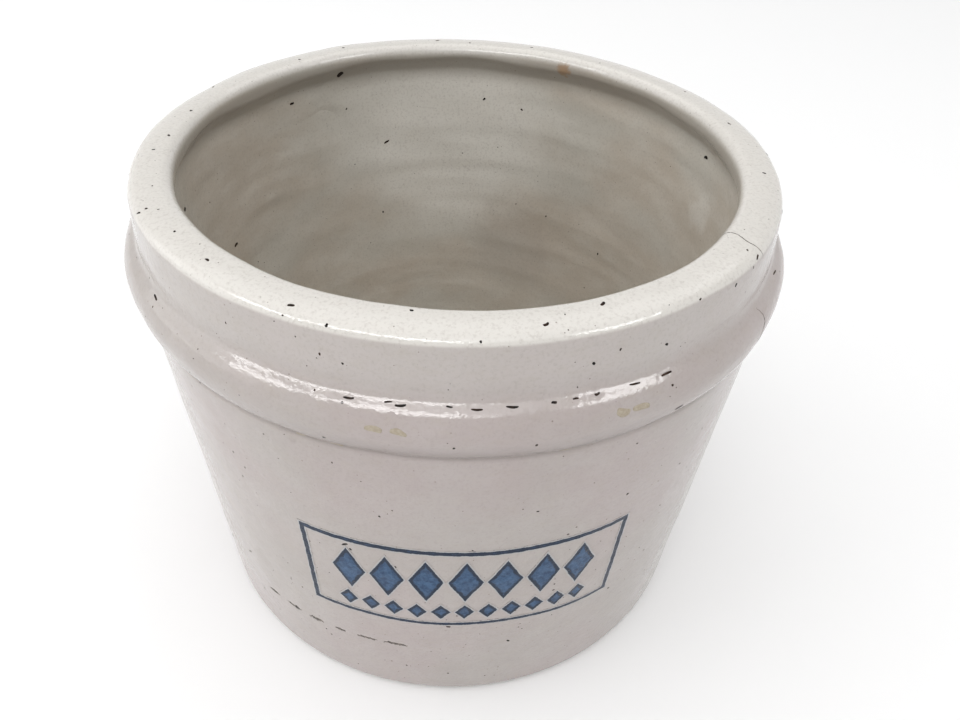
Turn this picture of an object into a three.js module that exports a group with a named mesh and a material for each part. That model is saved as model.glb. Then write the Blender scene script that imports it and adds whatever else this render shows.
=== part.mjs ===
// An open two-gallon stoneware crock: a fired clay body, the glaze coats that cover it inside and out,
// and a printed panel of plain lozenges on the front. Millimetres, +Z up, the panel faces -Y, and the
// origin is the middle of the flat foot.
import * as THREE from "three";

// Height and mouth.
const HEIGHT = 210;
const RIM_RADIUS = 125.3; // outside of the thick rolled rim
const RIM_ROUNDING = 4.3; // its outer shoulder
const CROWN_WIDTH = 6; // the rim's top falls a little, between its flat crest and the shoulder
const CROWN_DROP = 0.7;
const CREST_RADIUS = 116; // outside edge of the flat crest
const LAND_WIDTH = 3; // flat crest of the rim, where the two glaze coats meet
const MOUTH_RADIUS = 109.5;
const MOUTH_ROUNDING = 4;
const LIP_DEPTH = 7; // the upright inside of the rim ends this far below the top
const UNDERCUT_HEIGHT = 7; // and the inside widens over this height

// Bead, with a full upper edge and a longer lower curve, and the hollow collar above it.
const BEAD_RADIUS = 133;
const BEAD_Z = 177.4; // where it stands out furthest
const BEAD_UPPER_ROUNDING = 10.6;
const BEAD_UPPER_ANGLE = 54;
const BEAD_LOWER_ROUNDING = 21;
const BEAD_LOWER_ANGLE = 36;
const COLLAR_RADIUS = 126.2;
const COLLAR_LOW_Z = 189;
const COLLAR_HIGH_Z = 195;
const GROOVE_Z = 164.3; // the fine groove right under the bead
const GROOVE_DEPTH = 0.9;

// Tapered wall, foot and inside.
const WALL_TOP_RADIUS = 128.6;
const WALL_TOP_Z = 163;
const WALL_FOOT_RADIUS = 120;
const FOOT_ROUNDING = 5;
const INSIDE_TOP_RADIUS = 114.5;
const INSIDE_FLOOR_RADIUS = 109;
const INSIDE_CORNER = 16;
const FLOOR_Z = 12;

// Glaze coats.
const GLAZE = 0.6;
const GAP = 0.3; // clear space between neighbouring pieces
const BARE_FOOT = 1.4; // the outer coat stops this high, on the foot's rounding

// Printed panel.
const PANEL_WIDTH = 127;
const PANEL_BOTTOM_Z = 60.5;
const PANEL_TOP_Z = 112.5;
const LINE_WIDTH = 2.3;
const INK = 0.4;
const PANEL_ROWS = [
  { name: "lozenge", count: 7, width: 13.4, height: 27, pitch: 15, z: 92 },
  { name: "small_lozenge", count: 11, width: 7.8, height: 10.5, pitch: 9.4, z: 70.5 },
];

const TURNS = 48; // facets round the pot
const ARC_STEPS = 5;

const clay = { color: 0xb79f7c, roughness: 0.9, metalness: 0 };
const glazeOutside = { color: 0xdad7d3, roughness: 0.18, metalness: 0 };
const glazeInside = { color: 0xb9b4aa, roughness: 0.22, metalness: 0 };
const cobalt = { color: 0x2f5c80, roughness: 0.25, metalness: 0 };

function wallRadius(z) {
  const rise = z / WALL_TOP_Z;
  return WALL_FOOT_RADIUS + (WALL_TOP_RADIUS - WALL_FOOT_RADIUS) * rise;
}

// Points on an arc of the section, with angles in degrees from the outward radius.
function arc(centreR, centreZ, radius, fromDegrees, toDegrees, steps = ARC_STEPS) {
  return Array.from({ length: steps + 1 }, (_, i) => {
    const angle = THREE.MathUtils.degToRad(fromDegrees + ((toDegrees - fromDegrees) * i) / steps);
    const r = centreR + radius * Math.cos(angle);
    const z = centreZ + radius * Math.sin(angle);
    return new THREE.Vector2(r, z);
  });
}

// The outside of the pot from the foot's edge up to the crest of the rim.
function outsideSection() {
  const footR = WALL_FOOT_RADIUS - FOOT_ROUNDING;
  const lowerR = BEAD_RADIUS - BEAD_LOWER_ROUNDING;
  const upperR = BEAD_RADIUS - BEAD_UPPER_ROUNDING;
  const crownR = CREST_RADIUS + CROWN_WIDTH;
  const crownZ = HEIGHT - CROWN_DROP;
  const shoulderAngle = 90 - THREE.MathUtils.radToDeg(Math.atan((2 * CROWN_DROP) / CROWN_WIDTH));
  const shoulderR = RIM_RADIUS - RIM_ROUNDING;
  const shoulderZ = crownZ - RIM_ROUNDING * Math.sin(THREE.MathUtils.degToRad(shoulderAngle));
  return [
    ...arc(footR, FOOT_ROUNDING, FOOT_ROUNDING, -90, 0, 4),
    new THREE.Vector2(wallRadius(PANEL_TOP_Z), PANEL_TOP_Z),
    new THREE.Vector2(WALL_TOP_RADIUS, WALL_TOP_Z),
    new THREE.Vector2(WALL_TOP_RADIUS - GROOVE_DEPTH, GROOVE_Z),
    ...arc(lowerR, BEAD_Z, BEAD_LOWER_ROUNDING, -BEAD_LOWER_ANGLE, 0, 3),
    ...arc(upperR, BEAD_Z, BEAD_UPPER_ROUNDING, 0, BEAD_UPPER_ANGLE, 3).slice(1),
    new THREE.Vector2(COLLAR_RADIUS, COLLAR_LOW_Z),
    new THREE.Vector2(COLLAR_RADIUS, COLLAR_HIGH_Z),
    ...arc(shoulderR, shoulderZ, RIM_ROUNDING, 0, shoulderAngle, 4),
    new THREE.Vector2(crownR - CROWN_WIDTH / 2, HEIGHT - CROWN_DROP / 4),
    new THREE.Vector2(CREST_RADIUS, HEIGHT),
  ];
}

// The inside from the crest of the rim, round the lip and down to the middle of the floor.
function insideSection() {
  const lipZ = HEIGHT - LIP_DEPTH;
  const cornerZ = FLOOR_Z + INSIDE_CORNER;
  return [
    new THREE.Vector2(CREST_RADIUS - LAND_WIDTH / 2, HEIGHT),
    ...arc(MOUTH_RADIUS + MOUTH_ROUNDING, HEIGHT - MOUTH_ROUNDING, MOUTH_ROUNDING, 90, 180, 4),
    new THREE.Vector2(MOUTH_RADIUS, lipZ),
    new THREE.Vector2((MOUTH_RADIUS + INSIDE_TOP_RADIUS) / 2, lipZ - UNDERCUT_HEIGHT * 0.4),
    new THREE.Vector2(INSIDE_TOP_RADIUS, lipZ - UNDERCUT_HEIGHT),
    ...arc(INSIDE_FLOOR_RADIUS - INSIDE_CORNER, cornerZ, INSIDE_CORNER, 0, -90, 5),
    new THREE.Vector2(0, FLOOR_Z),
  ];
}

// Moves a line of section points towards the clay, which lies on its left.
function inset(points, distance) {
  return points.map((point, i) => {
    const before = points[Math.max(i - 1, 0)];
    const after = points[Math.min(i + 1, points.length - 1)];
    const along = new THREE.Vector2().subVectors(after, before).normalize();
    return new THREE.Vector2(point.x - along.y * distance, point.y + along.x * distance);
  });
}

function turned(section) {
  return new THREE.LatheGeometry(section, TURNS).rotateX(Math.PI / 2);
}

function piece(name, geometry, finish) {
  const mesh = new THREE.Mesh(geometry, new THREE.MeshStandardMaterial(finish));
  mesh.name = name;
  return mesh;
}

// The fired clay, set back from the glaze's surface, with its flat foot bare.
function stonewareBody() {
  const depth = GLAZE + GAP;
  const outside = inset(outsideSection(), depth).slice(1);
  const inside = inset(insideSection(), depth).slice(0, -1);
  const section = [
    new THREE.Vector2(0, 0),
    new THREE.Vector2(WALL_FOOT_RADIUS - FOOT_ROUNDING, 0),
    ...outside,
    ...inside,
    new THREE.Vector2(0, FLOOR_Z - depth),
  ];
  return piece("stoneware_body", turned(section), clay);
}

// The coat on the outside: from just above the foot, over the bead and collar, to the rim's crest.
function outerGlaze() {
  const covered = outsideSection().filter((point) => point.y >= BARE_FOOT);
  covered.push(new THREE.Vector2(CREST_RADIUS - LAND_WIDTH / 2 + GAP / 2, HEIGHT));
  const underside = inset(covered, GLAZE).reverse();
  return piece("outer_glaze", turned([...covered, ...underside, covered[0]]), glazeOutside);
}

// The liner: from the rim's crest over the lip, down the wall and across the floor.
function linerGlaze() {
  const covered = insideSection();
  covered[0].x -= GAP / 2;
  const underside = inset(covered, GLAZE).reverse();
  underside[0].set(0, FLOOR_Z - GLAZE);
  return piece("liner_glaze", turned([...underside, ...covered]), glazeInside);
}

// Lays flat geometry (x along the panel, y up, z out) on the outer coat, centred on -Y.
function wrapOnWall(geometry) {
  const spot = geometry.attributes.position;
  const bendRadius = wallRadius((PANEL_BOTTOM_Z + PANEL_TOP_Z) / 2);
  for (let i = 0; i < spot.count; i += 1) {
    const angle = spot.getX(i) / bendRadius;
    const z = spot.getY(i);
    const r = wallRadius(z) + GAP + spot.getZ(i);
    spot.setXYZ(i, r * Math.sin(angle), -r * Math.cos(angle), z);
  }
  return geometry;
}

// The printed frame: a ring with a square section, laid along a rectangle's sides.
function panelBorder() {
  const stepsAcross = 24;
  const stepsUp = 6;
  const corners = [
    [-1, -1, stepsAcross],
    [1, -1, stepsUp],
    [1, 1, stepsAcross],
    [-1, 1, stepsUp],
  ];
  const stations = corners.flatMap(([x, y, steps], i) => {
    const [nextX, nextY] = corners[(i + 1) % corners.length];
    return Array.from({ length: steps }, (_, k) => [
      x + ((nextX - x) * k) / steps,
      y + ((nextY - y) * k) / steps,
    ]);
  });
  const section = [
    [1, 0],
    [2, 0],
    [2, INK],
    [1, INK],
    [1, 0],
  ].map(([x, y]) => new THREE.Vector2(x, y));
  const ring = new THREE.LatheGeometry(section, stations.length);
  const spot = ring.attributes.position;
  const middleZ = (PANEL_BOTTOM_Z + PANEL_TOP_Z) / 2;
  for (let i = 0; i < spot.count; i += 1) {
    const turn = Math.floor(i / section.length) % stations.length;
    const [x, y] = stations[turn];
    const trim = section[i % section.length].x === 1 ? LINE_WIDTH : 0;
    const halfWidth = PANEL_WIDTH / 2 - trim;
    const halfHeight = (PANEL_TOP_Z - PANEL_BOTTOM_Z) / 2 - trim;
    spot.setXYZ(i, x * halfWidth, middleZ + y * halfHeight, spot.getY(i));
  }
  return piece("panel_border", wrapOnWall(ring), cobalt);
}

// A printed lozenge: a thin block drawn in to blunt tips.
function lozengeMark(name, width, height, x, z) {
  const bluntness = 0.06;
  const block = new THREE.BoxGeometry(width, height, INK, 2, 4, 1);
  const spot = block.attributes.position;
  for (let i = 0; i < spot.count; i += 1) {
    const y = spot.getY(i);
    const narrowing = 1 - (1 - bluntness) * Math.abs((2 * y) / height);
    spot.setXYZ(i, x + spot.getX(i) * narrowing, z + y, spot.getZ(i) + INK / 2);
  }
  return piece(name, wrapOnWall(block), cobalt);
}

function panelMarks() {
  return PANEL_ROWS.flatMap(({ name, count, width, height, pitch, z }) =>
    Array.from({ length: count }, (_, i) => {
      const x = (i - (count - 1) / 2) * pitch;
      return lozengeMark(`${name}_${i + 1}`, width, height, x, z);
    }),
  );
}

const crock = new THREE.Group();
crock.add(stonewareBody(), outerGlaze(), linerGlaze(), panelBorder(), ...panelMarks());

export default crock;
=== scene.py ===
"""An old open stoneware crock: grey-white glaze with iron specks and a printed panel of lozenges."""
import math

import bpy
import numpy as np
from mathutils import Matrix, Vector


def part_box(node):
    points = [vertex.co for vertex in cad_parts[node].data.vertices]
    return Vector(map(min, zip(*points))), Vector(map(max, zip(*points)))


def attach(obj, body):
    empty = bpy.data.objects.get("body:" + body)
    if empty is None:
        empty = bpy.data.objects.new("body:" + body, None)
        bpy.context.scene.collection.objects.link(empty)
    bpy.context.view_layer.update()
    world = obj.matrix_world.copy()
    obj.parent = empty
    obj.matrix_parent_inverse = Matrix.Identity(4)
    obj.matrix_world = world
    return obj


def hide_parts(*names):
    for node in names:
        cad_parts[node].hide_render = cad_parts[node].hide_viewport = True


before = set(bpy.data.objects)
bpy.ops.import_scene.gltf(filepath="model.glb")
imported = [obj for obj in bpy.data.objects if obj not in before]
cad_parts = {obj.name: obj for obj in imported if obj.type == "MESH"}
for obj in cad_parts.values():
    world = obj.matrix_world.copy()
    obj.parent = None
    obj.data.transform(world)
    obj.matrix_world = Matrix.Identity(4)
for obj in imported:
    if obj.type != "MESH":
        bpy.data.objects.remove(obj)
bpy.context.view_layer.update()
MM = 0.001

# Sizes taken from the CAD frame, in metres.
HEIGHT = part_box("outer_glaze")[1].z
BEAD_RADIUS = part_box("outer_glaze")[1].x
PANEL_LOW, PANEL_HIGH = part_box("panel_border")

# The section's own sizes, which repeat the CAD section's.
RIM_RADIUS = BEAD_RADIUS - 7.7 * MM
RIM_ROUNDING = 4.3 * MM
CROWN_WIDTH = 6 * MM
CROWN_DROP = 0.7 * MM
CREST_RADIUS = RIM_RADIUS - 9.3 * MM
LAND_WIDTH = 3 * MM
MOUTH_RADIUS = RIM_RADIUS - 15.8 * MM
MOUTH_ROUNDING = 4 * MM
LIP_DEPTH = 7 * MM
UNDERCUT_HEIGHT = 7 * MM
BEAD_Z = 177.4 * MM
BEAD_UPPER_ROUNDING = 10.6 * MM
BEAD_UPPER_ANGLE = 54
BEAD_LOWER_ROUNDING = 21 * MM
BEAD_LOWER_ANGLE = 36
COLLAR_RADIUS = RIM_RADIUS + 0.9 * MM
COLLAR_LOW_Z = 189 * MM
COLLAR_HIGH_Z = 195 * MM
GROOVE_Z = 164.3 * MM
GROOVE_DEPTH = 0.9 * MM
WALL_TOP_RADIUS = BEAD_RADIUS - 4.4 * MM
WALL_TOP_Z = 163 * MM
WALL_FOOT_RADIUS = BEAD_RADIUS - 13 * MM
FOOT_ROUNDING = 5 * MM
INSIDE_TOP_RADIUS = RIM_RADIUS - 10.8 * MM
INSIDE_FLOOR_RADIUS = RIM_RADIUS - 16.3 * MM
INSIDE_CORNER = 16 * MM
FLOOR_Z = 12 * MM
LIP_Z = HEIGHT - LIP_DEPTH
GLAZE = 0.6 * MM

# The glaze's mesh.
SECTION_STEP = 0.2 * MM
COLUMNS = 540  # round the pot
GLAZE_ROWS = 160
CLAY_COLUMNS = 360

# The print.
SIDE_LINE, TOP_LINE, BOTTOM_LINE = 2.1 * MM, 2.4 * MM, 1.9 * MM
HALO = 0.7 * MM  # the ink has bled this far into the glaze round a mark
INK_LIFT = 0.09 * MM
INK_DEPTH = 0.15 * MM
CAD_PRINT_FACE = 0.7 * MM  # the CAD print's face stands this far off the wall
MARK_HALF_WIDTH = {"small": 3.9 * MM, "tall": 6.7 * MM}

# Marks of age and of the firing: azimuths in degrees from the front.
DASHES_FRONT = (-20, 30)  # the bead's upper edge has most of its iron dashes here
PATCH_AZIMUTHS = (-12, 22, 150)  # where the glaze missed the bead
LIP_SPOT_AZIMUTH = -150
RUST_AZIMUTH = 150
CRACK_AZIMUTH = 52
SCUFF_AZIMUTHS = (-45, -10)
SCUFF_HEIGHTS = (36 * MM, 40 * MM)
SCUFFS = 6
SCUFF_WIDTH = 1.5 * MM
CRACK_WIDTH = 0.35 * MM
ALL_ROUND = (-180, 180)

# The camera stands where the photo was taken: a phone's wide lens, about an arm's length away.
LENS, SENSOR = 29.25, 36
CAMERA_HEADING, CAMERA_TILT, CAMERA_ROLL = -5, 40.35, 2.87
CAMERA_PLACE = (11.9 * MM, -292.6 * MM, 344.8 * MM)

FLOOR_REACH = 8.0


def wave(angle, *terms):
    """A sum of cosines round the pot, from (count, size, phase) terms."""
    return sum(size * np.cos(count * angle + phase) for count, size, phase in terms)


def smooth(value, low, high):
    """0 below low, 1 above high, and a smooth step between."""
    t = np.clip((value - low) / (high - low), 0, 1)
    return t * t * (3 - 2 * t)


def swell(points, wavelength, seed, waves=14):
    """A smooth random field over points: plane waves in seeded directions, about -1 to 1."""
    rng = np.random.default_rng(seed)
    direction = rng.normal(size=(waves, 3))
    direction /= np.linalg.norm(direction, axis=1, keepdims=True)
    number = 2 * math.pi / wavelength * rng.uniform(0.7, 1.3, waves)
    phase = rng.uniform(0, 2 * math.pi, waves)
    field = sum(np.cos(points @ (d * k) + p) for d, k, p in zip(direction, number, phase))
    return field / math.sqrt(waves / 2) * 0.6


# ---- The pot's section: a line of (radius, height) points -----------------------------------

def wall_radius(z):
    return WALL_FOOT_RADIUS + (WALL_TOP_RADIUS - WALL_FOOT_RADIUS) * z / WALL_TOP_Z


def arc(centre, radius, start, end, steps=24):
    """Points on an arc of the section, with angles in degrees from the outward radius."""
    angles = np.radians(np.linspace(start, end, steps))
    return [(centre[0] + radius * math.cos(a), centre[1] + radius * math.sin(a)) for a in angles]


def outside_line():
    """From the foot's edge up over the bead and the collar to the middle of the rim's crest."""
    foot = arc((WALL_FOOT_RADIUS - FOOT_ROUNDING, FOOT_ROUNDING), FOOT_ROUNDING, -55, 0)
    lower_centre = (BEAD_RADIUS - BEAD_LOWER_ROUNDING, BEAD_Z)
    upper_centre = (BEAD_RADIUS - BEAD_UPPER_ROUNDING, BEAD_Z)
    shoulder_angle = 90 - math.degrees(math.atan(2 * CROWN_DROP / CROWN_WIDTH))
    shoulder_z = HEIGHT - CROWN_DROP - RIM_ROUNDING * math.sin(math.radians(shoulder_angle))
    crown = np.linspace(1, 0, 8)
    return [
        *foot,
        (WALL_TOP_RADIUS, WALL_TOP_Z),
        (WALL_TOP_RADIUS - GROOVE_DEPTH, GROOVE_Z),
        *arc(lower_centre, BEAD_LOWER_ROUNDING, -BEAD_LOWER_ANGLE, 0),
        *arc(upper_centre, BEAD_UPPER_ROUNDING, 0, BEAD_UPPER_ANGLE),
        (COLLAR_RADIUS + 0.9 * MM, COLLAR_LOW_Z - 1.8 * MM),
        (COLLAR_RADIUS, COLLAR_LOW_Z),
        (COLLAR_RADIUS, COLLAR_HIGH_Z),
        *arc((RIM_RADIUS - RIM_ROUNDING, shoulder_z), RIM_ROUNDING, 0, shoulder_angle),
        *[(CREST_RADIUS + CROWN_WIDTH * t, HEIGHT - CROWN_DROP * t * t) for t in crown],
        (CREST_RADIUS - LAND_WIDTH / 2, HEIGHT),
    ]


def inside_line():
    """From the middle of the rim's crest over the lip, down the wall and in to the floor's middle."""
    mouth_centre = (MOUTH_RADIUS + MOUTH_ROUNDING, HEIGHT - MOUTH_ROUNDING)
    corner_centre = (INSIDE_FLOOR_RADIUS - INSIDE_CORNER, FLOOR_Z + INSIDE_CORNER)
    return [
        (CREST_RADIUS - LAND_WIDTH / 2, HEIGHT),
        *arc(mouth_centre, MOUTH_ROUNDING, 90, 180),
        (MOUTH_RADIUS, LIP_Z),
        ((MOUTH_RADIUS + INSIDE_TOP_RADIUS) / 2, LIP_Z - 0.4 * UNDERCUT_HEIGHT),
        (INSIDE_TOP_RADIUS, LIP_Z - UNDERCUT_HEIGHT),
        *arc(corner_centre, INSIDE_CORNER, 0, -90),
        (0.0, FLOOR_Z),
    ]


def softened(line, reach=0.8 * MM):
    """The line at an even step, with its corners rounded as glaze rounds them."""
    points = np.array(line)
    lengths = np.r_[0, np.cumsum(np.linalg.norm(np.diff(points, axis=0), axis=1))]
    keep = np.r_[True, np.diff(lengths) > 1e-9]
    points, lengths = points[keep], lengths[keep]
    at = np.linspace(0, lengths[-1], int(lengths[-1] / SECTION_STEP))
    even = np.stack([np.interp(at, lengths, points[:, i]) for i in (0, 1)], axis=1)
    half = int(3 * reach / SECTION_STEP)
    weights = np.exp(-0.5 * (np.arange(-half, half + 1) * SECTION_STEP / reach) ** 2)
    weights /= weights.sum()
    before = 2 * even[0] - even[half:0:-1]
    after = 2 * even[-1] - even[-2:-half - 2:-1]
    padded = np.concatenate([before, even, after])
    return np.stack([np.convolve(padded[:, i], weights, "valid") for i in (0, 1)], axis=1)


def normals_of(line):
    """Unit normals, to the right of the direction in which the line runs."""
    along = np.gradient(line, axis=0)
    along /= np.linalg.norm(along, axis=1, keepdims=True)
    return np.stack([along[:, 1], -along[:, 0]], axis=1)


def spaced(line, rows, bend_share=0.35):
    """Indices of rows points of the line, closer together where it bends."""
    normal = normals_of(line)
    turn = np.r_[0, np.linalg.norm(np.diff(normal, axis=0), axis=1)]
    length = np.r_[0, np.linalg.norm(np.diff(line, axis=0), axis=1)]
    measure = np.cumsum((1 - bend_share) * length / length.sum() + bend_share * turn / turn.sum())
    picked = np.searchsorted(measure, np.linspace(0, measure[-1], rows))
    return np.unique(np.clip(picked, 0, len(line) - 1))


OUTSIDE = softened(outside_line())
INSIDE = softened(inside_line())
SECTION = np.concatenate([OUTSIDE, INSIDE[1:]])
SECTION_NORMAL = normals_of(SECTION)
CREST = len(OUTSIDE) - 1
WALL_ROWS = int(np.argmax(OUTSIDE[:, 1] > WALL_TOP_Z - 2 * MM))


def height_index(radius, height):
    """The section's index nearest to a radius and a height."""
    return float(np.argmin(np.hypot(SECTION[:, 0] - radius, SECTION[:, 1] - height)))


BEAD_EDGE = height_index(COLLAR_RADIUS + 2 * MM, COLLAR_LOW_Z - 3 * MM)


def point_at(azimuth, radius, height):
    """A point from degrees round from the front and millimetres out and up."""
    angle = math.radians(azimuth)
    return radius * MM * math.sin(angle), -radius * MM * math.cos(angle), height * MM


# ---- The worn surface -----------------------------------------------------------------------

DIMPLE = point_at(-145, 114, 180)  # a thumb-sized dent in the back of the inside wall


def section_at(index):
    """Radius, height and normal at places along the section, given as fractional indices."""
    rows = np.arange(len(SECTION))
    r, z = (np.interp(index, rows, SECTION[:, i]) for i in (0, 1))
    normal_r, normal_z = (np.interp(index, rows, SECTION_NORMAL[:, i]) for i in (0, 1))
    return r, z, normal_r, normal_z


def relief(index, angle, r, z):
    """How far the worn surface stands out from the section, in metres."""
    inside = (index > CREST).astype(float)
    around = np.stack([r * np.sin(angle), -r * np.cos(angle), z + 0 * angle], axis=-1)
    foot = 1 - (1 - smooth(z, 0, 8 * MM)) * (1 - inside)
    height = 0.16 * MM * swell(around, 42 * MM, 3) + 0.06 * MM * swell(around, 15 * MM, 4)
    height += 0.02 * MM * swell(around, 9 * MM, 5)
    height *= foot
    wall = inside * smooth(z, FLOOR_Z, FLOOR_Z + 30 * MM)
    wall *= 1 - smooth(z, LIP_Z - 14 * MM, LIP_Z)
    climb = z + 2.2 * MM * angle / math.pi + 1.5 * MM * wave(angle, (1, 1, 0.4), (3, 0.4, 2.0))
    climb = climb + 2.5 * MM * swell(around, 90 * MM, 8)
    strength = np.clip(0.35 + 0.65 * swell(around, 60 * MM, 6), 0, 1.2)
    height -= wall * strength * 0.12 * MM * np.cos(2 * math.pi * climb / (9.5 * MM))
    broad = around * np.array([1.0, 1.0, 3.0])
    height -= wall * 0.34 * MM * swell(broad, 55 * MM, 7)
    away = np.linalg.norm((around - np.array(DIMPLE)) * np.array([1.0, 1.0, 1.5]), axis=-1)
    height -= wall * 0.75 * MM * (1 - (away / (11 * MM)) ** 2) * np.exp(-(away / (10 * MM)) ** 2)
    turned = (1 - inside) * smooth(z, 8 * MM, 30 * MM)
    height += turned * 0.012 * MM * np.cos(2 * math.pi * climb / (13 * MM))
    return height


def surface(index, angle, depth=0.0):
    """Points on the worn glaze, or a depth below it, by section index and angle from the front."""
    r, z, normal_r, normal_z = section_at(index)
    height = relief(index, angle, r, z) - depth
    r, z = r + height * normal_r, z + height * normal_z
    lip = (index > CREST) * smooth(z, LIP_Z - 16 * MM, LIP_Z - 3 * MM)
    lip = lip * (1 - smooth(z, LIP_Z + 1 * MM, HEIGHT - 3 * MM))
    z = z + lip * wave(angle, (2, 0.9, 0.3), (5, 0.7, 2.1), (9, 0.4, 4.0), (14, 0.25, 1.0)) * MM
    tall = smooth(z, 0.6 * HEIGHT, HEIGHT)
    z = z + tall * wave(angle, (2, 0.28, 1.1), (3, 0.18, 2.4), (7, 0.06, 0.0)) * MM
    r = r * (1 + tall * wave(angle, (2, 0.0016, 0.7), (3, 0.0008, 2.2), (5, 0.0004, 0.5)))
    return np.stack([r * np.sin(angle), -r * np.cos(angle), z + 0 * angle], axis=-1)


def beside(place, across, along, lift):
    """Points of the surface at distances across and along the section from a place."""
    index, angle = place
    radius = SECTION[int(index), 0]
    return surface(index + along / SECTION_STEP, angle + across / radius, -lift)


def grid(index, columns, depth=0.0):
    angle = np.arange(columns) * 2 * math.pi / columns
    return surface(np.asarray(index, float)[:, None], angle[None, :], depth)


def unit(vectors):
    return vectors / np.maximum(np.linalg.norm(vectors, axis=-1, keepdims=True), 1e-12)


def facing(index, columns, side=1):
    """The surface's own unit normals on a grid, for shading that runs on from piece to piece."""
    angle = np.arange(columns) * 2 * math.pi / columns
    index = np.asarray(index, float)[:, None]
    reach, turn = 1.0, 0.004
    up = surface(index + reach, angle) - surface(index - reach, angle)
    across = surface(index, angle + turn) - surface(index, angle - turn)
    return side * unit(np.cross(across, up))


# ---- Meshes ---------------------------------------------------------------------------------

def ring_faces(rows, columns, wrap):
    """Faces between rows of columns vertices, closed round the pot, and end to end if wrap."""
    i, j = np.meshgrid(np.arange(rows - (not wrap)), np.arange(columns), indexing="ij")
    below, above, right = i * columns, (i + 1) % rows * columns, (j + 1) % columns
    return np.stack([below + j, below + right, above + right, above + j], -1).reshape(-1, 4).tolist()


def capped(rings, first, last):
    """Vertices and faces of a closed body of rings, whose ends close on two middle points."""
    count, columns = rings.shape[:2]
    vertices = np.concatenate([rings.reshape(-1, 3), [first, last]])
    faces = ring_faces(count, columns, False)
    top = (count - 1) * columns
    for j in range(columns):
        k = (j + 1) % columns
        faces.append([count * columns, k, j])
        faces.append([count * columns + 1, top + j, top + k])
    return vertices, faces


def joined(bodies):
    """One list of vertices and faces from many closed bodies."""
    vertices, faces, start = [], [], 0
    for body_vertices, body_faces in bodies:
        vertices.append(body_vertices)
        faces += [[start + v for v in face] for face in body_faces]
        start += len(body_vertices)
    return np.concatenate(vertices), faces


def add_piece(name, vertices, faces, slot, material, nodes=(), normals=None, edge=None):
    mesh = bpy.data.meshes.new(name)
    mesh.from_pydata(np.asarray(vertices).tolist(), [], faces)
    mesh.polygons.foreach_set("use_smooth", [True] * len(mesh.polygons))
    if edge is not None:
        values = mesh.attributes.new("edge_mm", "FLOAT", "POINT")
        values.data.foreach_set("value", (edge / MM).astype(np.float32))
    if normals is not None:
        mesh.normals_split_custom_set_from_vertices(normals.tolist())
    mesh.materials.append(material)
    piece = bpy.data.objects.new(name, mesh)
    bpy.context.scene.collection.objects.link(piece)
    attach(piece, "root")
    if nodes:
        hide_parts(*nodes)
    return piece


# ---- Materials ------------------------------------------------------------------------------

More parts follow.
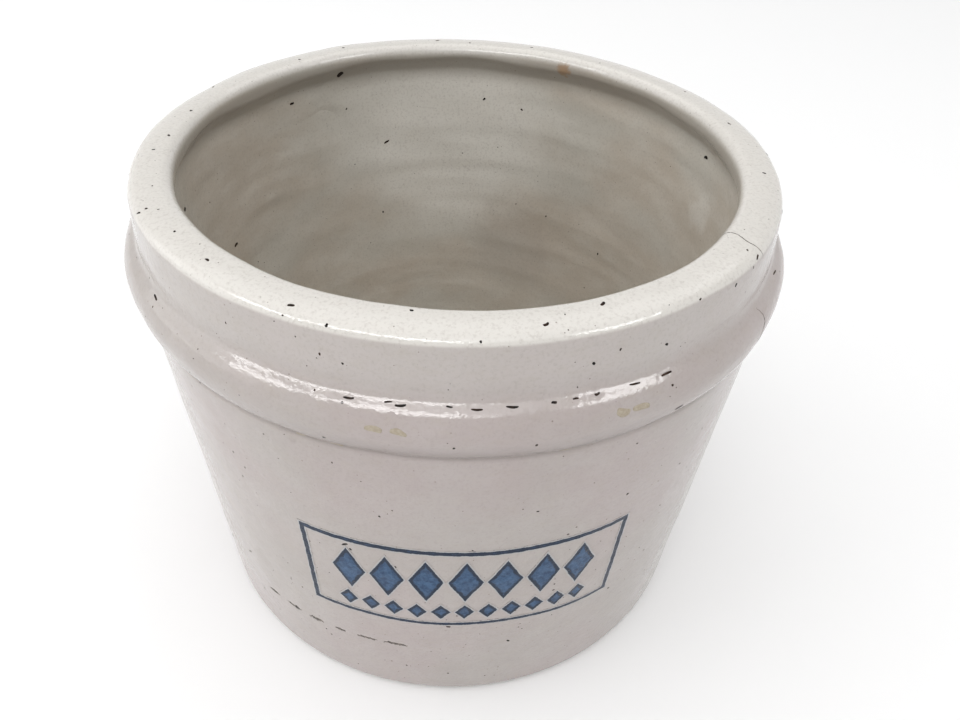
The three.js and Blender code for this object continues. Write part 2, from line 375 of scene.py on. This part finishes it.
class Shader:
    """A material's node tree, with short ways to add the nodes used here."""

    def __init__(self, name):
        self.material = bpy.data.materials.new(name)
        self.material.use_nodes = True
        self.tree = self.material.node_tree
        self.principled = self.tree.nodes["Principled BSDF"]
        self.place = self.node("ShaderNodeTexCoord").outputs["Object"]

    def node(self, kind, **settings):
        made = self.tree.nodes.new(kind)
        for key, value in settings.items():
            setattr(made, key, value)
        return made

    def put(self, socket, value):
        if isinstance(value, bpy.types.NodeSocket):
            self.tree.links.new(value, socket)
        else:
            socket.default_value = value

    def math(self, operation, a, b=0.0):
        made = self.node("ShaderNodeMath", operation=operation)
        self.put(made.inputs[0], a)
        self.put(made.inputs[1], b)
        return made.outputs[0]

    def step(self, value, low, high):
        """0 to 1 as value goes smoothly from low to high."""
        made = self.node("ShaderNodeMapRange", interpolation_type="SMOOTHSTEP")
        for key, item in zip(("Value", "From Min", "From Max"), (value, low, high)):
            self.put(made.inputs[key], item)
        return made.outputs["Result"]

    def noise(self, size, detail=3.0, roughness=0.5, place=None):
        """Noise with features about size metres across."""
        made = self.node("ShaderNodeTexNoise")
        self.put(made.inputs["Vector"], place or self.place)
        for key, item in (("Scale", 1 / size), ("Detail", detail), ("Roughness", roughness)):
            self.put(made.inputs[key], item)
        return made.outputs["Fac"]

    def stretched(self, tall):
        """The place with its height scaled, for streaks that run round the pot."""
        made = self.node("ShaderNodeMapping")
        self.put(made.inputs["Vector"], self.place)
        self.put(made.inputs["Scale"], (1.0, 1.0, tall))
        return made.outputs["Vector"]

    def height(self):
        split = self.node("ShaderNodeSeparateXYZ")
        self.put(split.inputs[0], self.place)
        return split.outputs[2]

    def cells(self, size):
        """Distance to a random point in each cell about size across, and the cell's own number."""
        made = self.node("ShaderNodeTexVoronoi")
        self.put(made.inputs["Vector"], self.place)
        self.put(made.inputs["Scale"], 1 / size)
        split = self.node("ShaderNodeSeparateColor")
        self.put(split.inputs[0], made.outputs["Color"])
        return made.outputs["Distance"], split.outputs[0]

    def spot(self, centre, radius, ragged=0.4):
        """1 at a point, falling to 0 at about a radius from it, with a ragged outline."""
        away = self.node("ShaderNodeVectorMath", operation="DISTANCE")
        self.put(away.inputs[0], self.place)
        self.put(away.inputs[1], centre)
        sway = self.math("SUBTRACT", self.noise(radius * 0.6, 4, 0.6), 0.5)
        sway = self.math("MULTIPLY", sway, radius * 2 * ragged)
        return self.step(self.math("ADD", away.outputs["Value"], sway), radius, radius * 0.35)

    def mix(self, share, a, b):
        made = self.node("ShaderNodeMix", data_type="RGBA")
        for key, item in ((0, share), (6, a), (7, b)):
            self.put(made.inputs[key], item)
        return made.outputs[2]

    def stain(self, shade, share, strength, tint):
        return self.mix(self.math("MULTIPLY", share, strength), shade, tint)

    def bump(self, height, distance, strength=1.0, normal=None):
        made = self.node("ShaderNodeBump")
        self.put(made.inputs["Height"], height)
        self.put(made.inputs["Distance"], distance)
        self.put(made.inputs["Strength"], strength)
        if normal:
            self.put(made.inputs["Normal"], normal)
        return made.outputs["Normal"]

    def finish(self, **values):
        for key, value in values.items():
            self.put(self.principled.inputs[key.replace("_", " ")], value)
        return self.material


def colour(red, green, blue):
    return (red, green, blue, 1.0)


def pepper(shader, size, share, largest):
    """Specks in a share of the cells, up to largest across their cell."""
    distance, number = shader.cells(size)
    radius = shader.math("MULTIPLY", shader.math("SUBTRACT", number, 1 - share), largest / share)
    radius = shader.math("MAXIMUM", radius, 1e-4)
    return shader.step(distance, radius, shader.math("MULTIPLY", radius, 0.45))


# The rim's colour: partly a whiter glaze, mostly painted light that makes the rim's top brighter than the
# wall.
RIM_WHITE_AND_PAINTED_LIGHT = colour(0.67, 0.645, 0.605)


def outside_shade(shader):
    """Pinkish and greenish drifts, cloudy, with faint smudges and stains; painted light on the collar, a
    rim that is whiter partly in its glaze and mostly in painted light, and painted shade under the bead.
    """
    z = shader.height()
    drift = shader.step(shader.noise(0.07, 2), 0.36, 0.62)
    shade = shader.mix(drift, colour(0.432, 0.376, 0.364), colour(0.416, 0.379, 0.358))
    cloud = shader.step(shader.noise(0.02, 4, 0.6), 0.3, 0.75)
    shade = shader.stain(shade, cloud, 0.4, colour(0.49, 0.45, 0.437))
    # Painted light: the collar and the bead's top are lightened as if lit from above.
    collar = shader.step(z, 0.86 * HEIGHT, 0.93 * HEIGHT)
    shade = shader.stain(shade, collar, 0.5, colour(0.54, 0.51, 0.485))
    thin = shader.step(shader.noise(0.006, 4, 0.65, shader.stretched(2.5)), 0.42, 0.8)
    shade = shader.stain(shade, thin, 0.22, colour(0.42, 0.37, 0.30))
    # Painted shade: the bead's underside and the groove below it are darkened as if shaded from above.
    below = shader.step(z, GROOVE_Z - 1.2 * MM, GROOVE_Z + 0.3 * MM)
    above = shader.step(z, GROOVE_Z + 11 * MM, GROOVE_Z + 2 * MM)
    shade = shader.stain(shade, shader.math("MULTIPLY", below, above), 0.8, colour(0.26, 0.225, 0.21))
    smudge = shader.step(shader.noise(0.012, 5, 0.7), 0.64, 0.78)
    shade = shader.stain(shade, smudge, 0.22, colour(0.20, 0.17, 0.13))
    # Painted light: the rim's top and shoulder take the rim's colour, which is whiter glaze and painted
    # light together.
    rim = shader.step(z, HEIGHT - 3.9 * MM, HEIGHT - 2.8 * MM)
    return shader.mix(rim, shade, RIM_WHITE_AND_PAINTED_LIGHT)


def inside_shade(shader):
    """Browner than the outside, cloudy and streaked; a painted pool of light on the back wall, a painted
    shadow low down and painted shade under the lip; the rim's white and painted light over the mouth, and
    a rust stain at the lip.
    """
    drift = shader.step(shader.noise(0.06, 3, place=shader.stretched(1.6)), 0.35, 0.65)
    shade = shader.mix(drift, colour(0.54, 0.485, 0.415), colour(0.56, 0.535, 0.48))
    # Painted light: a pool of light and reflection on the back of the inside wall.
    light = shader.spot(point_at(180, 114, 160), 75 * MM, 0.3)
    shade = shader.stain(shade, light, 0.8, colour(0.80, 0.78, 0.73))
    streak = shader.step(shader.noise(0.022, 5, 0.65, shader.stretched(2.2)), 0.38, 0.72)
    shade = shader.stain(shade, streak, 0.35, colour(0.68, 0.655, 0.60))
    # Painted shadow: a darker patch low on the inside wall stands in for shade and a dark reflection.
    blotch_and_painted_shadow = shader.spot(point_at(160, 112, 95), 34 * MM, 0.5)
    shade = shader.stain(shade, blotch_and_painted_shadow, 0.45, colour(0.42, 0.37, 0.32))
    pale = shader.spot(point_at(100, 114, 168), 12 * MM, 0.7)
    shade = shader.stain(shade, pale, 0.45, colour(0.74, 0.72, 0.67))
    z = shader.height()
    # Painted shade: the lip's inner face and the undercut below it are darkened as if shaded by the
    # overhanging rim.
    over_wall = shader.step(z, LIP_Z - 14 * MM, LIP_Z - 4 * MM)
    under_rim = shader.step(z, HEIGHT, LIP_Z)
    lip = shader.math("MULTIPLY", over_wall, under_rim)
    shade = shader.stain(shade, lip, 0.75, colour(0.30, 0.275, 0.24))
    # The rim's colour, whiter glaze and painted light, carried over the mouth.
    below = shader.step(z, HEIGHT - 1.5 * MM, HEIGHT - 5 * MM)
    shade = shader.mix(below, RIM_WHITE_AND_PAINTED_LIGHT, shade)
    rust = shader.spot(point_at(RUST_AZIMUTH, 110, 204), 5 * MM, 0.8)
    return shader.stain(shade, rust, 0.6, colour(0.36, 0.19, 0.07))


def glazed(shader, shade):
    """Adds the iron pepper, the ripple and the gloss that all the glaze has, over a shade."""
    fine = pepper(shader, 2.3 * MM, 0.45, 0.17)
    coarse = pepper(shader, 6.5 * MM, 0.3, 0.085)
    shade = shader.stain(shade, fine, 0.6, colour(0.14, 0.10, 0.08))
    shade = shader.stain(shade, coarse, 0.9, colour(0.03, 0.022, 0.02))
    grain = shader.step(shader.noise(0.0011, 2, 0.6), 0.45, 0.8)
    shade = shader.stain(shade, grain, 0.3, colour(0.33, 0.29, 0.26))
    rough = shader.step(shader.noise(0.012, 4, 0.7), 0.25, 0.8)
    rough = shader.math("ADD", shader.math("MULTIPLY", rough, 0.10), 0.10)
    ripple = shader.bump(shader.noise(0.0034, 2, 0.5), 0.22 * MM, 0.9)
    ripple = shader.bump(shader.noise(0.0011, 2, 0.6), 0.07 * MM, 0.9, ripple)
    pits = shader.bump(shader.math("SUBTRACT", 1.0, coarse), 0.15 * MM, 0.6, ripple)
    return shade, rough, pits


def glaze_material(name, shade_of):
    shader = Shader(name)
    shade, rough, normal = glazed(shader, shade_of(shader))
    return shader.finish(Base_Color=shade, Roughness=rough, Normal=normal, IOR=1.42)


def clay_material(name):
    """Bare buff stoneware: sandy grain, rust specks, darker where it has been handled."""
    shader = Shader(name)
    grain = shader.noise(0.0012, 4, 0.7)
    worn = shader.step(shader.noise(0.03, 4, 0.6), 0.3, 0.7)
    shade = shader.mix(worn, colour(0.38, 0.325, 0.245), colour(0.32, 0.27, 0.20))
    shade = shader.mix(shader.step(grain, 0.35, 0.75), shade, colour(0.45, 0.395, 0.315))
    shade = shader.stain(shade, pepper(shader, 4 * MM, 0.3, 0.2), 0.7, colour(0.16, 0.09, 0.05))
    rough = shader.math("ADD", shader.math("MULTIPLY", grain, 0.2), 0.70)
    normal = shader.bump(grain, 0.14 * MM, 0.8)
    return shader.finish(Base_Color=shade, Roughness=rough, Normal=normal)


def ink_material():
    """Cobalt under the glaze: navy at a mark's edge, mottled blue in it, and a pale bleed round it."""
    shader = Shader("cobalt_ink")
    edge = shader.node("ShaderNodeAttribute", attribute_name="edge_mm").outputs["Fac"]
    shade, rough, normal = glazed(shader, outside_shade(shader))
    bled = shader.step(edge, -HALO / MM, -0.1)
    shade = shader.stain(shade, bled, 0.45, colour(0.44, 0.51, 0.57))
    blotch_and_painted_shadow = shader.noise(0.0026, 4, 0.75)
    reach = shader.math("MULTIPLY", shader.step(blotch_and_painted_shadow, 0.25, 0.75), 1.7)
    reach = shader.math("ADD", reach, 0.85)
    inner = shader.step(edge, shader.math("MULTIPLY", reach, 0.6), reach)
    mottle = shader.step(blotch_and_painted_shadow, 0.3, 0.7)
    blue = shader.mix(mottle, colour(0.012, 0.04, 0.10), colour(0.05, 0.115, 0.225))
    ink = shader.mix(inner, colour(0.003, 0.014, 0.038), blue)
    ragged = shader.math("MULTIPLY", shader.math("SUBTRACT", shader.noise(0.0008, 2), 0.5), 0.5)
    inked = shader.step(shader.math("ADD", edge, ragged), -0.12, 0.14)
    shade = shader.stain(shade, inked, 0.98, ink)
    return shader.finish(Base_Color=shade, Roughness=rough, Normal=normal, IOR=1.25)


def iron_material():
    """Iron that bled through the glaze: brown-black, burnt brown here and there."""
    shader = Shader("iron_fleck")
    burnt = shader.step(shader.noise(0.004, 3, 0.6), 0.4, 0.7)
    shade = shader.mix(burnt, colour(0.010, 0.007, 0.006), colour(0.05, 0.026, 0.016))
    normal = shader.bump(shader.noise(0.0005, 2), 0.05 * MM, 0.5)
    return shader.finish(Base_Color=shade, Roughness=0.5, Normal=normal, IOR=1.2)


def grime_material():
    """Dirt in a scratch or a crack."""
    shader = Shader("grime")
    patchy = shader.step(shader.noise(0.0014, 3, 0.7), 0.35, 0.65)
    shade = shader.mix(patchy, colour(0.20, 0.17, 0.145), colour(0.04, 0.032, 0.027))
    return shader.finish(Base_Color=shade, Roughness=0.6)


# ---- The pot --------------------------------------------------------------------------------

def coat(rows):
    """A glaze coat's rows: over its surface, and back along its underside in fewer rows."""
    back = np.unique(np.r_[rows[::9], rows[-1]])[::-1]
    return back, grid(rows, COLUMNS), grid(back, COLUMNS, GLAZE)


def add_outer_glaze():
    rows = spaced(OUTSIDE, GLAZE_ROWS)
    back, front_rings, back_rings = coat(rows)
    rings = np.concatenate([front_rings, back_rings])
    normals = np.concatenate([facing(rows, COLUMNS), facing(back, COLUMNS, -1)])
    add_piece("crock_outer_glaze", rings.reshape(-1, 3), ring_faces(len(rings), COLUMNS, True),
              "outside_glaze", glaze_material("outside_glaze", outside_shade), ["outer_glaze"],
              normals.reshape(-1, 3))


def add_liner_glaze():
    rows = CREST + spaced(SECTION[CREST:-2], GLAZE_ROWS)
    back, front_rings, back_rings = coat(rows)
    rings = np.concatenate([back_rings, front_rings])
    vertices, faces = capped(rings, (0, 0, FLOOR_Z - GLAZE), (0, 0, FLOOR_Z))
    normals = np.concatenate([facing(back, COLUMNS, -1), facing(rows, COLUMNS)]).reshape(-1, 3)
    normals = np.concatenate([normals, [[0, 0, -1], [0, 0, 1]]])
    add_piece("crock_liner_glaze", vertices, faces, "inside_glaze",
              glaze_material("inside_glaze", inside_shade), ["liner_glaze"], normals)


def add_clay():
    under = GLAZE + 0.25 * MM
    angle = np.arange(CLAY_COLUMNS) * 2 * math.pi / CLAY_COLUMNS
    reach = np.linspace(4 * MM, WALL_FOOT_RADIUS - FOOT_ROUNDING + 0.6 * MM, 60)[:, None]
    base = np.stack([reach * np.sin(angle), -reach * np.cos(angle), 0 * reach * angle], axis=-1)
    scars = 0.12 * MM * (1 + np.cos(2 * math.pi * reach / (7 * MM) + 0.6 * np.cos(2 * angle)))
    edge = 1 - smooth(reach, WALL_FOOT_RADIUS - 14 * MM, WALL_FOOT_RADIUS - 8 * MM)
    base[..., 2] = scars * edge
    rows = spaced(SECTION[:-2], 150, 0.5)
    rings = np.concatenate([base, grid(rows, CLAY_COLUMNS, under)])
    vertices, faces = capped(rings, (0, 0, 0), (0, 0, FLOOR_Z - under))
    add_piece("crock_clay_body", vertices, faces, "stoneware", clay_material("bare_stoneware"),
              ["stoneware_body"])


# ---- The printed panel ----------------------------------------------------------------------

PANEL_RADIUS = wall_radius((PANEL_LOW.z + PANEL_HIGH.z) / 2)


def on_wall(x, z, lift=0.0):
    """Points of the outer glaze, a lift above it, x round from the panel's middle and z up."""
    index = np.interp(z, OUTSIDE[:WALL_ROWS, 1], np.arange(WALL_ROWS))
    return surface(index, x / PANEL_RADIUS, -lift)


def add_film(name, x, z, edge, wrap, material, node):
    """A printed film on the wall, from rows of points; wrap joins its last row to its first."""
    rows, columns = x.shape
    top, bottom = on_wall(x, z, INK_LIFT), on_wall(x, z, -INK_DEPTH)
    vertices = np.concatenate([top, bottom[:, ::-1]], axis=1).reshape(-1, 3)
    faces = ring_faces(rows, 2 * columns, wrap)
    if not wrap:
        last = (rows - 1) * 2 * columns
        for j in range(columns - 1):
            k = 2 * columns - 1 - j
            faces.append([j, k, k - 1, j + 1])
            faces.append([last + j, last + j + 1, last + k - 1, last + k])
    reach = 0.5 * MM
    across = on_wall(x + reach, z) - on_wall(x - reach, z)
    up = on_wall(x, z + reach) - on_wall(x, z - reach)
    out = unit(np.cross(across, up))
    normals = np.concatenate([out, -out[:, ::-1]], axis=1).reshape(-1, 3)
    edges = np.concatenate([edge, edge[:, ::-1]], axis=1).reshape(-1)
    add_piece(name, vertices, faces, "cobalt_ink", material, [node], normals, edges)


def add_lozenge(node, material, seed):
    """A wobbly lozenge in its node's box, with room round it for the bleed."""
    low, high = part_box(node)
    middle = math.atan2((low.x + high.x) / 2, -(low.y + high.y) / 2) * PANEL_RADIUS
    half_width = MARK_HALF_WIDTH["small" if node.startswith("small") else "tall"]
    half_height = (high.z - low.z) / 2
    slope = half_height / math.hypot(half_height, half_width)
    grow = 1 + HALO / (half_width * slope)
    v = np.linspace(-grow, grow, 71)[:, None]
    u = np.linspace(-1, 1, 41)[None, :]
    rng = np.random.default_rng(seed)
    sway = [rng.normal() * 0.03 / k * np.cos(k * math.pi * v + rng.uniform(0, 6)) for k in (2, 3, 5, 8)]
    half = np.maximum((grow - np.abs(v)) * (1 + sum(sway)), 0.03) * half_width
    x = middle + u * half
    z = (low.z + high.z) / 2 + v * half_height + 0 * u
    edge = half * (1 - np.abs(u)) * slope - HALO
    add_film("print_" + node, x, z, edge, False, material, node)


def add_border(material):
    """The panel's frame: a line down each side and a heavier one along the top and bottom."""
    low, high = PANEL_LOW.z, PANEL_HIGH.z
    half_width = math.asin(PANEL_HIGH.x / (wall_radius(high) + CAD_PRINT_FACE)) * PANEL_RADIUS
    corners = np.array([(-half_width, low), (half_width, low), (half_width, high), (-half_width, high)])
    inward = np.array([(1, 1), (-1, 1), (-1, -1), (1, -1)])
    widths = np.array([
        (SIDE_LINE, BOTTOM_LINE), (SIDE_LINE, BOTTOM_LINE), (SIDE_LINE, TOP_LINE), (SIDE_LINE, TOP_LINE),
    ])
    outer, inner = corners - inward * HALO, corners + inward * (widths + HALO)
    share = np.linspace(0, 1, 13)[None, :]
    rows, edges = [], []
    for i, (steps, width) in enumerate(zip((150, 60) * 2, (BOTTOM_LINE, SIDE_LINE, TOP_LINE, SIDE_LINE))):
        t = (np.arange(steps) / steps)[:, None]
        after = (i + 1) % 4
        outside = outer[i] + t * (outer[after] - outer[i])
        inside = inner[i] + t * (inner[after] - inner[i])
        rows.append(inside[:, None] + share[..., None] * (outside - inside)[:, None])
        edges.append(np.minimum(share, 1 - share) * (width + 2 * HALO) - HALO + 0 * t)
    points = np.concatenate(rows)
    station = np.arange(len(points))[:, None]
    edge = np.concatenate(edges) + 0.14 * MM * np.cos(0.9 * station) * np.cos(0.23 * station)
    add_film("print_panel_border", points[..., 0], points[..., 1], edge, True, material, "panel_border")


def add_panel():
    ink = ink_material()
    for seed, node in enumerate(sorted(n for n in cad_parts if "lozenge" in n)):
        add_lozenge(node, ink, seed)
    add_border(ink)


# ---- Flecks, bare patches, cracks and scuffs ------------------------------------------------

def fleck(place, length, width, turn, rng, lift, depth, spokes=18):
    """A low closed dome on the surface, with a ragged outline and a slight bend."""
    phi = np.arange(spokes) * 2 * math.pi / spokes
    ragged = 1 + sum(rng.normal() * 0.10 / k * np.cos(k * phi + rng.uniform(0, 6)) for k in (2, 3, 4))
    u = np.cos(phi) * ragged * length / 2
    v = np.sign(np.sin(phi)) * np.abs(np.sin(phi)) ** 0.6 * ragged * width / 2
    v = v + 0.12 * width * np.sin(5 * u / length + rng.uniform(0, 6))
    across = u * math.cos(turn) - v * math.sin(turn)
    along = u * math.sin(turn) + v * math.cos(turn)
    domed = [beside(place, across * k, along * k, lift * math.sqrt(1.02 - k * k)) for k in (1, 0.8, 0.5)]
    rings = np.stack([beside(place, across, along, -depth), *domed])
    bottom, top = (beside(place, np.zeros(1), np.zeros(1), h)[0] for h in (-depth, lift))
    return capped(rings, bottom, top)


def strewn(rng, count, azimuths, indices, lengths, widths, turns):
    """Flecks at random: one in each equal part of the azimuths, with sizes in millimetres."""
    part = (azimuths[1] - azimuths[0]) / count
    flecks = []
    for i in range(count):
        angle = math.radians(azimuths[0] + part * (i + rng.uniform(0.1, 0.9)))
        size = rng.uniform(*lengths) * MM, rng.uniform(*widths) * MM
        flecks.append(((rng.uniform(*indices), angle), *size, math.radians(rng.uniform(*turns))))
    return flecks


def add_flecks(name, flecks, slot, material, rng, lift=0.10 * MM, depth=0.25 * MM):
    bodies = [fleck(*one, rng, lift, depth) for one in flecks]
    add_piece(name, *joined(bodies), slot, material)


def add_scattered(name, count, first, last, slot, material, seed):
    """Small specks at random over a stretch of the section."""
    rng = np.random.default_rng(seed)
    bodies = []
    for _ in range(count):
        place = (rng.uniform(first, last), rng.uniform(0, 2 * math.pi))
        size = 0.35 * MM + 0.75 * MM * rng.random() ** 4
        length = size * rng.uniform(1, 1.7)
        bodies.append(fleck(place, length, size, rng.uniform(0, 3), rng, 0.04 * MM, 0.2 * MM, 8))
    add_piece(name, *joined(bodies), slot, material)


def trail(places, width, sway, rng, lift=0.05 * MM, depth=0.25 * MM):
    """A thin closed strip on the surface through places, ragged and drawn in at both ends."""
    ends = np.array(places)
    radius = SECTION[int(ends[0, 0]), 0]
    gaps = np.hypot(np.diff(ends[:, 0]) * SECTION_STEP, np.diff(ends[:, 1]) * radius)
    at = np.r_[0, np.cumsum(gaps)]
    count = max(int(at[-1] / (0.5 * MM)), 6)
    t = np.linspace(0, at[-1], count)
    along = np.interp(t, at, ends[:, 0] * SECTION_STEP) + rng.normal(size=count) * sway
    across = np.interp(t, at, ends[:, 1] * radius) + rng.normal(size=count) * 0.5 * sway
    run_along, run_across = np.gradient(along), np.gradient(across)
    run = np.hypot(run_along, run_across)
    taper = np.minimum(1, 4 * np.minimum(t, at[-1] - t) / at[-1] + 0.1)
    half = width / 2 * taper * rng.uniform(0.5, 1.3, count)
    side_along, side_across = run_across / run * half, -run_along / run * half
    loops = []
    for side, height in ((1, lift), (-1, lift), (-1, -depth), (1, -depth)):
        index = (along + side * side_along) / SECTION_STEP
        loops.append(surface(index, (across + side * side_across) / radius, -height))
    rings = np.stack(loops, axis=1)
    return capped(rings, rings[0].mean(axis=0), rings[-1].mean(axis=0))


def add_iron():
    iron = iron_material()
    rng = np.random.default_rng(21)
    near_edge = (BEAD_EDGE - 2, BEAD_EDGE + 2)
    dashes = strewn(rng, 11, DASHES_FRONT, near_edge, (1.3, 4.6), (0.6, 0.9), (-8, 12))
    dashes += strewn(rng, 7, (50, 320), near_edge, (1.5, 4.5), (0.6, 0.9), (-8, 20))
    add_flecks("iron_dashes_on_bead", dashes, "outside_glaze", iron, rng)
    specks = strewn(rng, 30, ALL_ROUND, (CREST - 75, CREST + 5), (1.0, 2.6), (0.7, 1.1), (0, 60))
    add_flecks("iron_specks_on_rim", specks, "outside_glaze", iron, rng)
    specks = strewn(rng, 26, ALL_ROUND, (120, BEAD_EDGE - 20), (1.2, 4.0), (0.8, 1.3), (-30, 50))
    add_flecks("iron_specks_on_wall", specks, "outside_glaze", iron, rng)
    lip = height_index(MOUTH_RADIUS + 3 * MM, LIP_Z - 4 * MM)
    specks = [((lip, math.radians(LIP_SPOT_AZIMUTH)), 3.5 * MM, 3.0 * MM, 0.5)]
    specks += strewn(rng, 13, ALL_ROUND, (lip + 40, lip + 480), (1.1, 3.4), (0.9, 1.7), (-30, 40))
    add_flecks("iron_specks_inside", specks, "inside_glaze", iron, rng, 0.3 * MM)
    add_scattered("iron_pepper_outside", 700, 30, CREST, "outside_glaze", iron, 25)
    add_scattered("iron_pepper_inside", 90, CREST + 60, len(SECTION) - 80, "inside_glaze", iron, 26)


def add_misses():
    """Buff clay where the glaze missed the bead and the groove."""
    rng = np.random.default_rng(27)
    bead = height_index(BEAD_RADIUS, BEAD_Z + 2 * MM)
    groove = height_index(WALL_TOP_RADIUS - GROOVE_DEPTH, GROOVE_Z)
    misses = []
    for azimuth in PATCH_AZIMUTHS:
        azimuths = (azimuth - 3, azimuth + 3)
        misses += strewn(rng, 2, azimuths, (bead - 5, bead + 5), (5, 7), (2.2, 3.2), (-18, -6))
    misses += strewn(rng, 16, ALL_ROUND, (groove - 3, groove + 3), (3.0, 5.0), (0.8, 1.2), (-4, 4))
    add_flecks("glaze_misses", misses, "stoneware", clay_material("bare_patch"), rng, 0.05 * MM)


def add_cracks_and_scuffs():
    grime = grime_material()
    rng = np.random.default_rng(28)
    ranges = ((CREST + 40, CREST - 65), (BEAD_EDGE, height_index(BEAD_RADIUS, BEAD_Z - 6 * MM)))
    cracks = []
    for first, last in ranges:
        indices = np.linspace(first, last, 6)
        angles = np.radians(CRACK_AZIMUTH + rng.uniform(-0.7, 0.7, len(indices)))
        cracks.append(trail(list(zip(indices, angles)), CRACK_WIDTH, 0.12 * MM, rng))
    add_piece("hairline_crack", *joined(cracks), "outside_glaze", grime)
    scuffs = []
    for i in range(SCUFFS):
        ends = np.array([i + rng.uniform(0, 0.2), i + rng.uniform(0.6, 0.95)]) / SCUFFS
        heights = SCUFF_HEIGHTS[0] + ends * (SCUFF_HEIGHTS[1] - SCUFF_HEIGHTS[0])
        azimuths = SCUFF_AZIMUTHS[0] + ends * (SCUFF_AZIMUTHS[1] - SCUFF_AZIMUTHS[0])
        indices = [height_index(wall_radius(z), z) for z in heights]
        scuffs.append(trail(list(zip(indices, np.radians(azimuths))), SCUFF_WIDTH, 0.4 * MM, rng))
    add_piece("scuff_marks", *joined(scuffs), "outside_glaze", grime)


# ---- Camera, light and floor ----------------------------------------------------------------

def add_camera():
    data = bpy.data.cameras.new("camera")
    data.sensor_width = SENSOR
    data.lens = LENS
    camera = bpy.data.objects.new("camera", data)
    heading = Matrix.Rotation(math.radians(CAMERA_HEADING), 4, "Z")
    tilt = Matrix.Rotation(math.radians(90 - CAMERA_TILT), 4, "X")
    roll = Matrix.Rotation(math.radians(CAMERA_ROLL), 4, "Z")
    away = Matrix.Translation(CAMERA_PLACE)
    camera.matrix_world = heading @ away @ tilt @ roll
    bpy.context.scene.collection.objects.link(camera)
    bpy.context.scene.camera = camera


def add_light(name, azimuth, elevation, distance, width, height, brightness, fills=True):
    """A rectangle of light facing the pot, brightness its radiance; one that doesn't fill only glints."""
    data = bpy.data.lights.new(name, "AREA")
    data.shape = "RECTANGLE"
    data.size, data.size_y = width, height
    data.energy = brightness * math.pi * width * height
    light = bpy.data.objects.new(name, data)
    turn = Matrix.Rotation(math.radians(azimuth), 4, "Z")
    rise = Matrix.Rotation(math.radians(90 - elevation), 4, "X")
    centre = Matrix.Translation((0, 0, HEIGHT / 2))
    light.matrix_world = centre @ turn @ rise @ Matrix.Translation((0, 0, distance))
    light.visible_camera = False
    light.visible_diffuse = fills
    bpy.context.scene.collection.objects.link(light)


def add_world():
    """Pale at the horizon, as the floor is, and dimmer above."""
    world = bpy.data.worlds.new("studio")
    world.use_nodes = True
    nodes, links = world.node_tree.nodes, world.node_tree.links
    background = nodes["Background"]
    background.inputs["Color"].default_value = (1, 1, 1, 1)
    split = nodes.new("ShaderNodeSeparateXYZ")
    links.new(nodes.new("ShaderNodeTexCoord").outputs["Generated"], split.inputs[0])
    fade = nodes.new("ShaderNodeMapRange")
    fade.interpolation_type = "SMOOTHSTEP"
    for key, value in (("From Min", 0.10), ("From Max", 0.45), ("To Min", 0.80), ("To Max", 0.28)):
        fade.inputs[key].default_value = value
    links.new(split.outputs[2], fade.inputs["Value"])
    links.new(fade.outputs["Result"], background.inputs["Strength"])
    bpy.context.scene.world = world


def add_floor():
    mesh = bpy.data.meshes.new("floor")
    corners = [(x * FLOOR_REACH, y * FLOOR_REACH, 0) for x, y in ((-1, -1), (1, -1), (1, 1), (-1, 1))]
    mesh.from_pydata(corners, [], [[0, 1, 2, 3]])
    shader = Shader("floor")
    mesh.materials.append(shader.finish(Base_Color=colour(0.92, 0.92, 0.92), Roughness=0.85))
    floor = bpy.data.objects.new("floor", mesh)
    floor.location.z = -0.2 * MM
    bpy.context.scene.collection.objects.link(floor)


def add_studio():
    add_light("front_window", -24, 42, 1.6, 1.2, 0.28, 13, False)
    add_light("right_window", 56, 38, 1.6, 0.6, 0.3, 13, False)
    add_light("left_window", -66, 34, 1.6, 0.55, 0.24, 13, False)
    add_light("front_fill", -5, 52, 1.8, 1.2, 0.8, 1.7)
    add_light("left_wall", -88, 22, 2.2, 2.0, 1.4, 1.6)
    add_light("overhead", 0, 90, 4.0, 8.0, 8.0, 1.2)
    add_world()
    add_floor()
    bpy.context.scene.view_settings.view_transform = "Standard"


add_clay()
add_outer_glaze()
add_liner_glaze()
add_panel()
add_iron()
add_misses()
add_cracks_and_scuffs()
add_camera()
add_studio()
